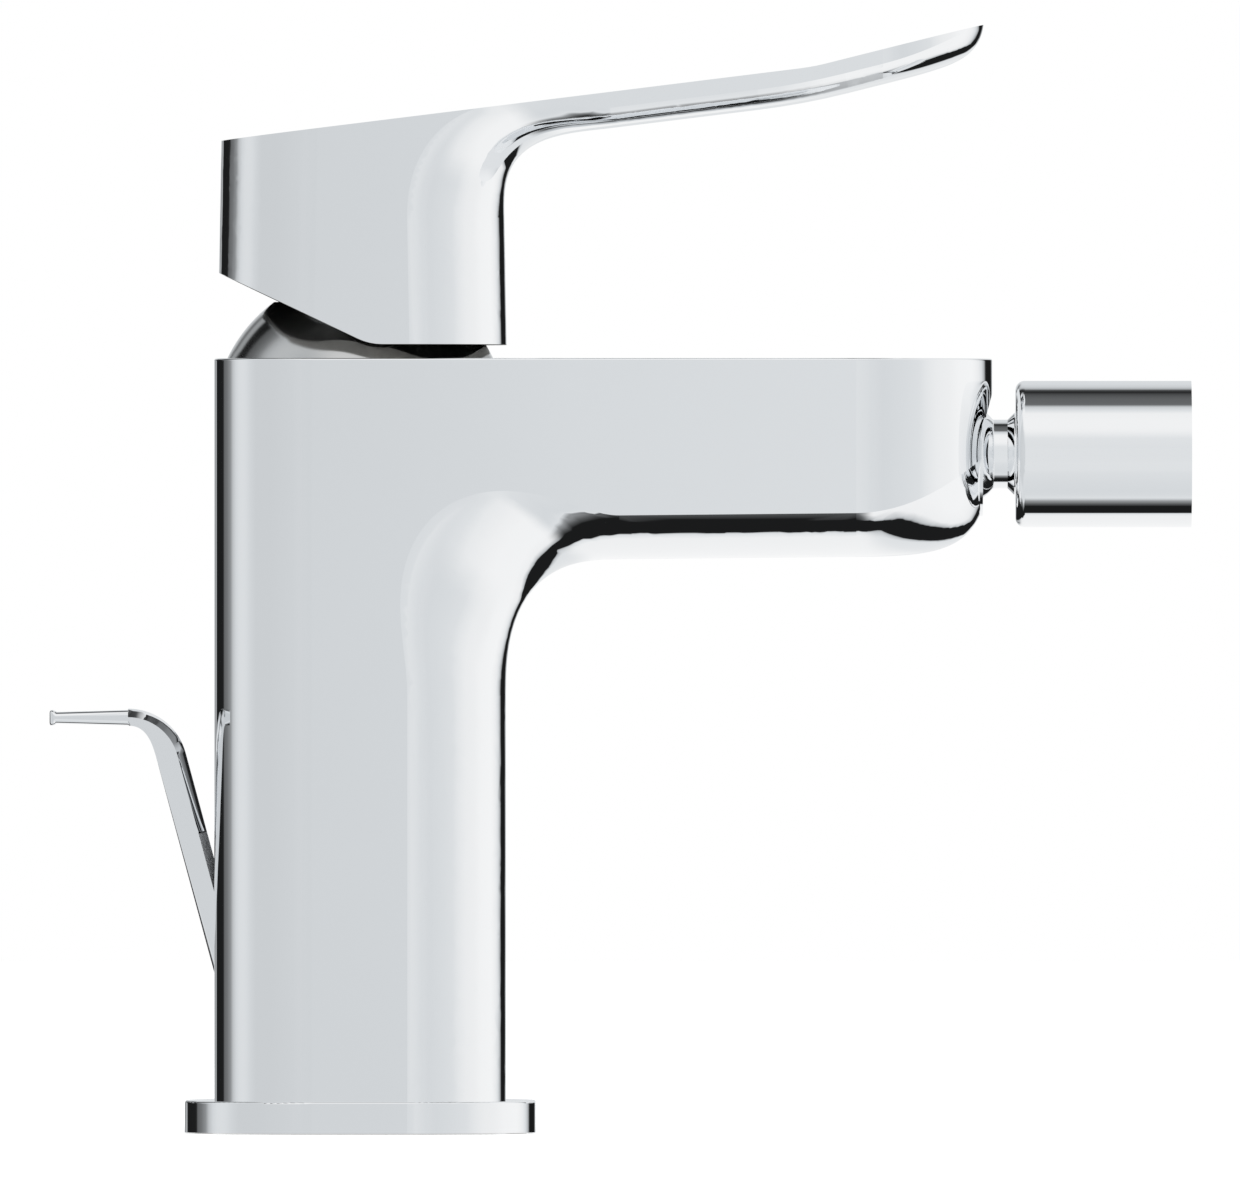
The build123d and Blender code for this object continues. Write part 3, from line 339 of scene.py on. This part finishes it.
paper = flat_card("paper_screen", *screen_x, *screen_z, 0.0)
paper.data.transform(Matrix.Translation((0, screen_y, 0)) @ Matrix.Rotation(pi / 2, 4, "X"))
paper.visible_camera = False
paper.visible_diffuse = False
paper.visible_transmission = False
paper.visible_shadow = False
lit, tree, end = blank_material("lit_paper")
place = object_place(tree)
solid = arithmetic(tree, "MULTIPLY", soft_edge(tree, place["X"], *screen_x, screen_fade_x),
                   soft_edge(tree, place["Z"], *screen_z, screen_fade_z))
bright = add_node(tree, "ShaderNodeEmission")
join(tree, light_ramp(tree, place["X"], screen_light, *screen_x), bright.inputs["Color"])
shown = blend_shaders(tree, solid, add_node(tree, "ShaderNodeBsdfTransparent"), bright)
join(tree, shown.outputs[0], end.inputs["Surface"])
paper.data.materials.append(lit)

# Overhead lamp
# One large soft lamp high above and a little in front. It gives the matt parts their form
# and lays the faint shadow round the plate. Metal doesn't show it.
lamp_target = Vector((0.03, 0, 0.06))

lamp = placed("overhead_lamp", bpy.data.lights.new("overhead_lamp", "AREA"))
lamp.data.shape = "DISK"
lamp.data.size = 1.4
lamp.data.energy = 22.0
lamp.location = (0.25, -0.5, 1.6)
lamp.rotation_euler = (lamp_target - lamp.location).to_track_quat("-Z", "Y").to_euler()
lamp.visible_glossy = False

# Body casting
# The square column and its forward spout, cast in brass as one hollow piece, ground,
# polished and plated with nickel and chrome. Inside, the hose space is left as cast.
plating = (0.93, 0.94, 0.95, 1.0)
tarnish_tint = 0.985
raw_metal = (0.30, 0.29, 0.27, 1.0)
raw_roughness = (0.42, 0.6)
raw_grit = 900.0
raw_depth = 0.00012
underside = -0.35                # a face that looks down further than this is one
column_hollow = {                # half width and corner of the raw inside, and its heights
    "Side": 0.0192, "Corner": 0.0124, "Floor": -0.01, "Roof": 0.108, "Rim": -0.01}


def value_group(name, inputs, outputs):
    group = bpy.data.node_groups.new(name, "ShaderNodeTree")
    for label, number in inputs:
        socket = group.interface.new_socket(label, in_out="INPUT", socket_type="NodeSocketFloat")
        socket.default_value = number
    for label in outputs:
        group.interface.new_socket(label, in_out="OUTPUT", socket_type="NodeSocketFloat")
    return group, add_node(group, "NodeGroupInput"), add_node(group, "NodeGroupOutput")


def noise(tree, vector, scale, detail=3.0, roughness=0.5):
    made = add_node(tree, "ShaderNodeTexNoise")
    feed(tree, scale, made.inputs["Scale"])
    made.inputs["Detail"].default_value = detail
    made.inputs["Roughness"].default_value = roughness
    join(tree, vector, made.inputs["Vector"])
    return made.outputs["Fac"]


polish, start, finish = value_group("polish", (("Haze Scale", 60.0), ("Ripple Scale", 35.0)),
                                    ("Haze", "Ripple", "Tarnish"))
at = add_node(polish, "ShaderNodeTexCoord").outputs["Object"]
haze = noise(polish, at, start.outputs["Haze Scale"], detail=5.0, roughness=0.6)
join(polish, rescale(polish, haze, low=0.35, high=0.72), finish.inputs["Haze"])
ripple = noise(polish, at, start.outputs["Ripple Scale"], detail=1.0, roughness=0.4)
join(polish, ripple, finish.inputs["Ripple"])
tarnish = noise(polish, at, scale=18.0, detail=4.0, roughness=0.6)
join(polish, rescale(polish, tarnish, low=0.3, high=0.7), finish.inputs["Tarnish"])

as_cast, start, finish = value_group(
    "as_cast", (("Side", 0.018), ("Corner", 0.01), ("Floor", -0.01), ("Roof", 0.05), ("Rim", -0.01)),
    ("Mask", "Grit"))
coordinates = add_node(as_cast, "ShaderNodeTexCoord")
place = add_node(as_cast, "ShaderNodeSeparateXYZ")
join(as_cast, coordinates.outputs["Object"], place.inputs[0])
above = arithmetic(as_cast, "GREATER_THAN", place.outputs["Z"], start.outputs["Floor"])
below = arithmetic(as_cast, "LESS_THAN", place.outputs["Z"], start.outputs["Roof"])
straight = arithmetic(as_cast, "SUBTRACT", start.outputs["Side"], start.outputs["Corner"])
past = []
for part in ("X", "Y"):
    off_axis = arithmetic(as_cast, "ABSOLUTE", place.outputs[part])
    past.append(arithmetic(as_cast, "MAXIMUM", arithmetic(as_cast, "SUBTRACT", off_axis, straight), 0.0))
across = arithmetic(as_cast, "SQRT", sum_of_squares(as_cast, *past))
inside = arithmetic(as_cast, "LESS_THAN", across, start.outputs["Corner"])
hollow = arithmetic(as_cast, "MULTIPLY", arithmetic(as_cast, "MULTIPLY", above, below), inside)
faces = add_node(as_cast, "ShaderNodeSeparateXYZ")
join(as_cast, coordinates.outputs["Normal"], faces.inputs[0])
rim = arithmetic(as_cast, "MULTIPLY", arithmetic(as_cast, "LESS_THAN", faces.outputs["Z"], underside),
                 arithmetic(as_cast, "LESS_THAN", place.outputs["Z"], start.outputs["Rim"]))
join(as_cast, arithmetic(as_cast, "MAXIMUM", hollow, rim), finish.inputs["Mask"])
grit = noise(as_cast, coordinates.outputs["Object"], raw_grit, detail=4.0, roughness=0.65)
join(as_cast, grit, finish.inputs["Grit"])


def principled(name, slot_colour, metallic=0.0, roughness=0.5):
    made, tree, end = blank_material(name)
    made.diffuse_color = slot_colour
    shader = add_node(tree, "ShaderNodeBsdfPrincipled")
    shader.inputs["Metallic"].default_value = metallic
    shader.inputs["Roughness"].default_value = roughness
    join(tree, shader.outputs[0], end.inputs["Surface"])
    return made, tree, shader


def bump_from(tree, shader, height, depth, below=None):
    bump = add_node(tree, "ShaderNodeBump")
    bump.inputs["Strength"].default_value = 1.0
    bump.inputs["Distance"].default_value = depth
    join(tree, height, bump.inputs["Height"])
    if below:
        join(tree, below.outputs["Normal"], bump.inputs["Normal"])
    join(tree, bump.outputs["Normal"], shader.inputs["Normal"])
    return bump


def chrome_plate(name, haze, ripple_depth, tint=plating, raw_inside=None):
    made, tree, shader = principled(name, tint, metallic=1.0)
    marks = add_node(tree, "ShaderNodeGroup", node_tree=polish)
    darker = tuple(tarnish_tint * part for part in tint[:3]) + (1.0,)
    colour = blend_colours(tree, marks.outputs["Tarnish"], tint, darker)
    gloss = rescale(tree, marks.outputs["Haze"], 0.0, 1.0, *haze)
    bump = bump_from(tree, shader, marks.outputs["Ripple"], ripple_depth)
    if raw_inside:
        raw = add_node(tree, "ShaderNodeGroup", node_tree=as_cast)
        for label, number in raw_inside.items():
            raw.inputs[label].default_value = number
        mask, grit = raw.outputs["Mask"], raw.outputs["Grit"]
        colour = blend_colours(tree, mask, colour, raw_metal)
        worn = rescale(tree, grit, 0.3, 0.7, *raw_roughness)
        gloss = arithmetic(tree, "MULTIPLY_ADD", arithmetic(tree, "SUBTRACT", worn, gloss), mask, gloss)
        bump_from(tree, shader, arithmetic(tree, "MULTIPLY", grit, mask), raw_depth, bump)
    join(tree, colour, shader.inputs["Base Color"])
    join(tree, gloss, shader.inputs["Roughness"])
    return made


def dress(name, material):
    for slot in node[name].material_slots:
        slot.material = material


body_chrome = chrome_plate("body_chrome", haze=(0.012, 0.032), ripple_depth=0.000004,
                           raw_inside=column_hollow)
dress("body_housing", body_chrome)

# The copy shown is the same mesh, with its shading evened under the spout's root. The facets
# turn too fast there and would mirror the plate as a bright spot.
root_x = (0.0285, 0.0370)        # from where the edge widens to where the belly is straight
root_fade = 0.0015
root_crease = 0.0884             # height of the crease along the spout's side
root_under = -0.3                # only faces that look down further than this
root_lean = -0.035               # how far they may lean back
casting = node["body_housing"].data.copy()
leans = [corner.vector.copy() for corner in casting.corner_normals]
for corner in casting.loops:
    spot = casting.vertices[corner.vertex_index].co
    lean = leans[corner.index]
    depth = min(spot.x - root_x[0], root_x[1] - spot.x) / root_fade
    if depth > 0 and spot.z < root_crease and lean.z < root_under and lean.x < root_lean:
        lean.x += (root_lean - lean.x) * min(1.0, depth)
        lean.normalize()
casting.normals_split_custom_set(leans)
casting.materials.clear()
casting.materials.append(body_chrome)
polished_body = placed("polished_body", casting)
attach(polished_body, "mixer_body")
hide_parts("body_housing")

# Base plate
# A pressed brass rosette, plated like the body. It holds the seal and hides the hole in
# the bidet. The body stands on it.
plate_chrome = chrome_plate("plate_chrome", haze=(0.015, 0.04), ripple_depth=0.000004)
dress("base_plate", plate_chrome)

# Rubber seals
# The ring under the plate, the two port seals, the ball's flat seal, the nozzle washer and
# the aerator seal. Pressed from black nitrile rubber, with a grey bloom on the surface.


def moulded(name, colour, worn_colour, roughness, grain_scale, grain_depth, worn_scale=120.0):
    made, tree, shader = principled(name, colour)
    at = add_node(tree, "ShaderNodeTexCoord").outputs["Object"]
    worn = rescale(tree, noise(tree, at, worn_scale, detail=5.0, roughness=0.6), low=0.38, high=0.68)
    grain = noise(tree, at, grain_scale)
    join(tree, blend_colours(tree, worn, colour, worn_colour), shader.inputs["Base Color"])
    join(tree, rescale(tree, worn, 0.0, 1.0, *roughness), shader.inputs["Roughness"])
    bump_from(tree, shader, grain, grain_depth)
    return made, shader


black_rubber = moulded(
    "black_rubber", colour=(0.030, 0.030, 0.031, 1.0), worn_colour=(0.062, 0.061, 0.058, 1.0),
    roughness=(0.55, 0.75), grain_scale=2600.0, grain_depth=0.00003)[0]
for name in ("base_seal", "port_seals", "ball_seal", "nozzle_washer", "aerator_seal"):
    dress(name, black_rubber)

# Inlet and stud bushes
# Hexagon bushes turned from brass bar, screwed up into the body from below. The hoses and
# the fixing stud screw into their threads.
brass_tint = (0.78, 0.58, 0.27, 1.0)
brass_stain = (0.58, 0.40, 0.18, 1.0)
tool_slope = 0.7                 # turning lines across an end face for each one along the side
thread_pitch = 0.0005
thread_depth = 0.0003
hose_bore = 0.0046               # threads are seen inside this radius
stud_bore = 0.0040

turning, start, finish = value_group(
    "turning", (("Along X", 0.0), ("Along Z", 1.0), ("Pitch", 0.0001), ("Bore", 0.0),
                ("Centre X", 0.0), ("Centre Y", 0.0), ("Centre Z", 0.0)),
    ("Lines", "Stain", "Inside"))
at = add_node(turning, "ShaderNodeTexCoord").outputs["Object"]
place = add_node(turning, "ShaderNodeSeparateXYZ")
join(turning, at, place.inputs[0])
off_x, off_y, off_z = [
    arithmetic(turning, "SUBTRACT", place.outputs[part], start.outputs["Centre " + part]) for part in "XYZ"]
along = arithmetic(turning, "ADD", arithmetic(turning, "MULTIPLY", off_x, start.outputs["Along X"]),
                   arithmetic(turning, "MULTIPLY", off_z, start.outputs["Along Z"]))
across = arithmetic(turning, "SUBTRACT", sum_of_squares(turning, off_x, off_y, off_z),
                    squared(turning, along))
radius = arithmetic(turning, "SQRT", arithmetic(turning, "MAXIMUM", across, 0.0))
tool_path = arithmetic(turning, "ADD", along, arithmetic(turning, "MULTIPLY", radius, tool_slope))
lines = arithmetic(turning, "PINGPONG", arithmetic(
    turning, "DIVIDE", tool_path, start.outputs["Pitch"]), 1.0)
join(turning, lines, finish.inputs["Lines"])
stain = noise(turning, at, scale=220.0, detail=5.0, roughness=0.62)
join(turning, rescale(turning, stain, low=0.35, high=0.7), finish.inputs["Stain"])
inside = arithmetic(turning, "LESS_THAN", radius, start.outputs["Bore"])
join(turning, inside, finish.inputs["Inside"])


def centred_on(name):
    low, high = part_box(name)
    return {"Centre " + part: (a + b) / 2 for part, a, b in zip("XYZ", low, high)}


def turned_metal(name, tint, stain, roughness, line_depth, **settings):
    made, tree, shader = principled(name, tint, metallic=1.0)
    marks = add_node(tree, "ShaderNodeGroup", node_tree=turning)
    for label, number in settings.items():
        marks.inputs[label].default_value = number
    join(tree, blend_colours(tree, marks.outputs["Stain"], tint, stain), shader.inputs["Base Color"])
    gloss = rescale(tree, marks.outputs["Stain"], 0.0, 1.0, *roughness)
    join(tree, gloss, shader.inputs["Roughness"])
    bump = bump_from(tree, shader, marks.outputs["Lines"], line_depth)
    return made, tree, shader, marks, bump


for name, bore in (("hot_inlet_bush", hose_bore), ("cold_inlet_bush", hose_bore), ("stud_bush", stud_bore)):
    brass, tree, shader, marks, bump = turned_metal(
        name + "_brass", brass_tint, brass_stain, roughness=(0.20, 0.38), line_depth=0.000008,
        Pitch=0.00009, Bore=bore, **centred_on(name))
    turns = arithmetic(tree, "DIVIDE", object_place(tree)["Z"], thread_pitch)
    thread = arithmetic(tree, "PINGPONG", turns, 1.0)
    in_bore = arithmetic(tree, "MULTIPLY", thread, marks.outputs["Inside"])
    bump_from(tree, shader, in_bore, thread_depth, bump)
    dress(name, brass)

# Retaining nut
# A turned brass ring with four slots, screwed into the body's top to hold the cartridge
# down on its port seals.
nut_brass = turned_metal("nut_brass", brass_tint, brass_stain, roughness=(0.18, 0.34),
                         line_depth=0.000008, Pitch=0.00012, **centred_on("retaining_nut"))[0]
dress("retaining_nut", nut_brass)

# Cartridge
# Base, housing, spindle carrier and disc driver, moulded in natural acetal. The ball's
# seat ring is the same plastic.
acetal, shader = moulded(
    "white_acetal", colour=(0.80, 0.80, 0.77, 1.0), worn_colour=(0.72, 0.715, 0.68, 1.0),
    roughness=(0.30, 0.42), grain_scale=700.0, grain_depth=0.00001, worn_scale=45.0)
shader.inputs["Subsurface Weight"].default_value = 0.12
shader.inputs["Subsurface Radius"].default_value = (0.0012, 0.0011, 0.0009)
for name in ("cartridge_base", "cartridge_housing", "spindle_carrier", "disc_driver", "ball_seat_ring"):
    dress(name, acetal)

# Ceramic discs
# Two alumina discs, fired, ground and lapped flat, so that they seal on each other with
# only a film of grease.
ceramic, shader = moulded(
    "lapped_ceramic", colour=(0.86, 0.85, 0.81, 1.0), worn_colour=(0.80, 0.785, 0.73, 1.0),
    roughness=(0.16, 0.28), grain_scale=3400.0, grain_depth=0.000006, worn_scale=260.0)
shader.inputs["Coat Weight"].default_value = 0.25
shader.inputs["Coat Roughness"].default_value = 0.12
for name in ("fixed_disc", "moving_disc"):
    dress(name, ceramic)

# Spindle and pivot pin
# The square-headed stainless spindle turns and rocks on its pin to slide the upper disc.
steel_tint = (0.62, 0.62, 0.61, 1.0)
steel_stain_and_shade = (0.50, 0.495, 0.48, 1.0)
spindle_steel = turned_metal("spindle_steel", steel_tint, steel_stain_and_shade, roughness=(0.22, 0.36),
                             line_depth=0.000004, Pitch=0.00008)[0]
pin_steel = turned_metal("pin_steel", steel_tint, steel_stain_and_shade, roughness=(0.14, 0.24),
                         line_depth=0.000002, Pitch=0.00006)[0]
dress("spindle", spindle_steel)
dress("pivot_pin", pin_steel)

# Dome cap
# A thin brass bowl spun to a dome that covers the nut and cartridge. Its plating is duller
# than the body's, and its tint is darkened as painted shade from the lever above it.
dome_chrome_painted_shade = chrome_plate("dome_chrome_painted_shade", tint=(0.62, 0.625, 0.625, 1.0), haze=(0.11, 0.16),
                           ripple_depth=0.000003)
dress("dome_cap", dome_chrome_painted_shade)

# Lever
# A square hollow block and its long paddle, die cast in one piece and plated. Its inside
# and the rim underneath keep the dull skin of the casting.
lever_hollow = {                 # half width and corner of the raw inside, and its heights
    "Side": 0.0193, "Corner": 0.0125, "Floor": 0.11244, "Roof": 0.1380, "Rim": 0.1215}
lever_chrome = chrome_plate("lever_chrome", haze=(0.012, 0.032), ripple_depth=0.000004,
                            raw_inside=lever_hollow)
dress("lever_handle", lever_chrome)

# Grub screw
# The small hexagon-socket screw that clamps the lever's hub to the spindle, rolled from
# stainless steel.
along_x = {"Along X": 1.0, "Along Z": 0.0}
screw_steel = turned_metal("screw_steel", grey(0.42), grey(0.30), roughness=(0.28, 0.45),
                           line_depth=0.00025, Pitch=0.0004, **along_x, **centred_on("grub_screw"))[0]
dress("grub_screw", screw_steel)

# Index plug
# A small glossy plastic plug that covers the screw's hole in the front of the lever.
plug_plastic, shader = moulded(
    "plug_plastic", colour=(0.62, 0.63, 0.64, 1.0), worn_colour=(0.57, 0.58, 0.59, 1.0),
    roughness=(0.16, 0.24), grain_scale=900.0, grain_depth=0.000004, worn_scale=300.0)
shader.inputs["Coat Weight"].default_value = 0.4
shader.inputs["Coat Roughness"].default_value = 0.06
dress("index_plug", plug_plastic)

# Pull handle and its rod
# A flat bar with a bent finger tab, cut and bent from brass and plated. The copy has its
# sharp edges rounded. The steel rod in its lower end goes on to the waste.
same_point = 0.000001
flat_angle = 0.01                # facets that turn less than this become one face
edge_angle = 1.2                 # edges that turn more than this are rounded
edge_radius = 0.0007
least_face = 0.0000016           # in square metres, edges at smaller faces stay as they are
shading_angle = 0.44             # edges that turn more than this are shaded as sharp

handle_chrome = chrome_plate("handle_chrome", haze=(0.02, 0.05), ripple_depth=0.000003)
dress("pull_handle", handle_chrome)
bar = bpy.data.meshes.new("eased_pull_handle")
form = bmesh.new()
form.from_mesh(node["pull_handle"].data)
bmesh.ops.remove_doubles(form, verts=form.verts, dist=same_point)
bmesh.ops.dissolve_limit(form, angle_limit=flat_angle, verts=form.verts, edges=form.edges)
corners = [edge for edge in form.edges if edge.is_convex and edge.calc_face_angle() > edge_angle
           and min(face.calc_area() for face in edge.link_faces) > least_face]
bmesh.ops.bevel(form, geom=corners, offset=edge_radius, offset_type="OFFSET", segments=4, profile=0.5,
                affect="EDGES", material=-1, clamp_overlap=False)
bmesh.ops.recalc_face_normals(form, faces=form.faces)
for face in form.faces:
    face.smooth = True
form.to_mesh(bar)
form.free()
bar.set_sharp_from_angle(angle=shading_angle)
bar.materials.append(handle_chrome)
eased_handle = placed("eased_pull_handle", bar)
even = eased_handle.modifiers.new("even_shading", "WEIGHTED_NORMAL")
even.weight = 100
even.keep_sharp = True
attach(eased_handle, "waste_pull")
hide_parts("pull_handle")
rod_steel = turned_metal("rod_steel", steel_tint, steel_stain_and_shade, roughness=(0.24, 0.40),
                         line_depth=0.00012, Pitch=0.0004, **centred_on("pull_rod"))[0]
dress("pull_rod", rod_steel)

# Guide sleeve
# A grey plastic channel in the back of the column that keeps the bar from rattling.
guide_plastic = moulded(
    "guide_plastic", colour=(0.46, 0.47, 0.48, 1.0), worn_colour=(0.41, 0.42, 0.43, 1.0),
    roughness=(0.42, 0.58), grain_scale=1500.0, grain_depth=0.00002)[0]
dress("rod_guide", guide_plastic)

# Ball joint
# Ball, neck and collar are turned from one brass bar and plated. The retainer is a ring
# screwed into the spout behind the rim.
ball_chrome = chrome_plate("ball_chrome", haze=(0.015, 0.035), ripple_depth=0.000002)
dress("swivel_ball", ball_chrome)
dress("ball_retainer", ball_chrome)

# Nozzle shell
# A short turned brass cylinder, plated, which swings with the ball and holds the aerator.
nozzle_chrome = chrome_plate("nozzle_chrome", haze=(0.012, 0.03), ripple_depth=0.000002)
dress("nozzle_shell", nozzle_chrome)

# Aerator
# A grey plastic insert with a square grid, pushed into the nozzle, and a fine woven screen
# of steel wire behind it.
aerator_plastic = moulded(
    "aerator_plastic", colour=(0.50, 0.51, 0.52, 1.0), worn_colour=(0.44, 0.45, 0.46, 1.0),
    roughness=(0.34, 0.50), grain_scale=1800.0, grain_depth=0.000012, worn_scale=400.0)[0]
dress("aerator_housing", aerator_plastic)

wire_pitch = 0.0005
wire_share = 0.46                # of the pitch
wire_depth = 0.0001
wire_edge = 0.02                 # lower than this on the wire's crown, the screen is open
woven, tree, shader = principled("woven_wire", steel_tint, metallic=1.0, roughness=0.3)
place = object_place(tree)
crowns = []
for part in ("Y", "Z"):
    pitches = arithmetic(tree, "DIVIDE", place[part], wire_pitch)
    to_wire = arithmetic(tree, "PINGPONG", pitches, 0.5)
    crowns.append(rescale(tree, to_wire, 0.0, wire_share / 2, 1.0, 0.0))
weave = arithmetic(tree, "MAXIMUM", *crowns)
join(tree, arithmetic(tree, "GREATER_THAN", weave, wire_edge), shader.inputs["Alpha"])
# The wires are lighter on their crowns and darker towards their edges: painted shade on their round sides.
join(tree, blend_colours(tree, weave, steel_stain_and_shade, steel_tint), shader.inputs["Base Color"])
bump_from(tree, shader, arithmetic(tree, "SQRT", weave), wire_depth)
dress("aerator_screen", woven)
